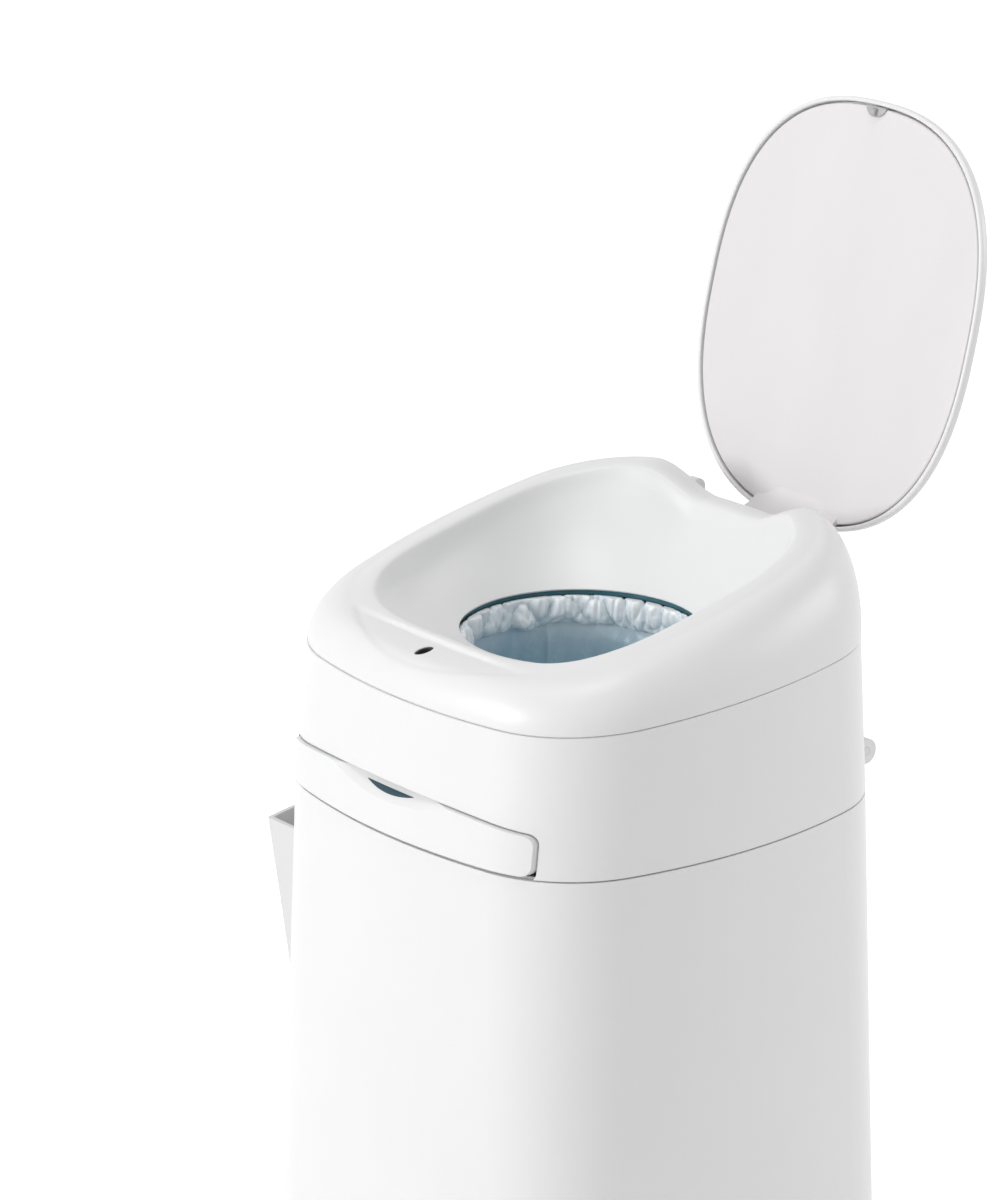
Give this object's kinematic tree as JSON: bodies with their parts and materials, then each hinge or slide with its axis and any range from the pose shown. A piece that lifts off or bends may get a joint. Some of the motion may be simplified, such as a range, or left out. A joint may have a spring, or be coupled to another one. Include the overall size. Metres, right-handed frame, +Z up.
{
  "type": "litter disposal pail",
  "caption": "Tall rounded-square pail with a tilting head, funnel mouth under a leaning oval lid, pull handle that opens a spring clamp, film cassette and side pocket.",
  "frame": {"origin": "centre of the base's underside", "axes": "+Z up, -Y front with the pull handle, +Y rear with the hinges, -X side with the scoop pocket"},
  "size_m": [0.2673, 0.3031, 0.5761],
  "materials": {
    "white_shell": "semi-gloss moulded",
    "liner": "satin moulded",
    "teal": "satin moulded",
    "film": "thin film",
    "pad": "matt",
    "bush": "natural",
    "steel": "bright"
  },
  "bodies": {
    "pail": {"pail_body": "white_shell", "pail_base": "white_shell", "head_hinge_pins": "steel", "scoop_holder": "white_shell"},
    "head": {"head_housing": "white_shell", "cover_hinge_pins": "steel", "clamp_base": "teal", "clamp_cover": "teal", "clamp_screws": "steel", "mounting_screws": "steel", "guide_rods": "steel", "return_springs": "steel", "fixed_jaw": "teal", "fixed_jaw_pad": "pad", "cassette_tub": "teal", "cassette_cap": "teal", "film_pack": "film", "film_sleeve": "film", "film_bag": "film", "bag_knot": "film", "cutter_body": "teal", "cutter_blade": "steel"},
    "cover": {"funnel_cover": "white_shell", "lid_hinge_pins": "steel"},
    "lid": {"lid_shell": "white_shell", "lid_liner": "liner", "lid_catch": "white_shell"},
    "clamp": {"pull_handle": "white_shell", "handle_screws": "steel", "slide_frame": "teal", "slide_bushes": "bush", "moving_jaw": "teal", "moving_jaw_pad": "pad"}
  },
  "joints": [
    {"name": "head_tilt", "type": "hinge", "parent": "pail", "child": "head", "pos_m": [0, 0.1185, 0.293], "axis": [-1, 0, 0], "range_deg": [0, 95]},
    {"name": "cover_tilt", "type": "hinge", "parent": "head", "child": "cover", "pos_m": [0, 0.1123, 0.36451], "axis": [-1, 0, 0], "range_deg": [0, 80]},
    {"name": "lid_swing", "type": "hinge", "parent": "cover", "child": "lid", "pos_m": [0, 0.1037, 0.3916], "axis": [1, 0, 0], "range_deg": [0, 116.8]},
    {"name": "clamp_pull", "type": "slide", "parent": "head", "child": "clamp", "axis": [0, -1, 0], "range_m": [0, 0.05], "stiffness_N_per_m": 120, "springref_m": -0.03, "deforming": ["return_springs"]}
  ]
}
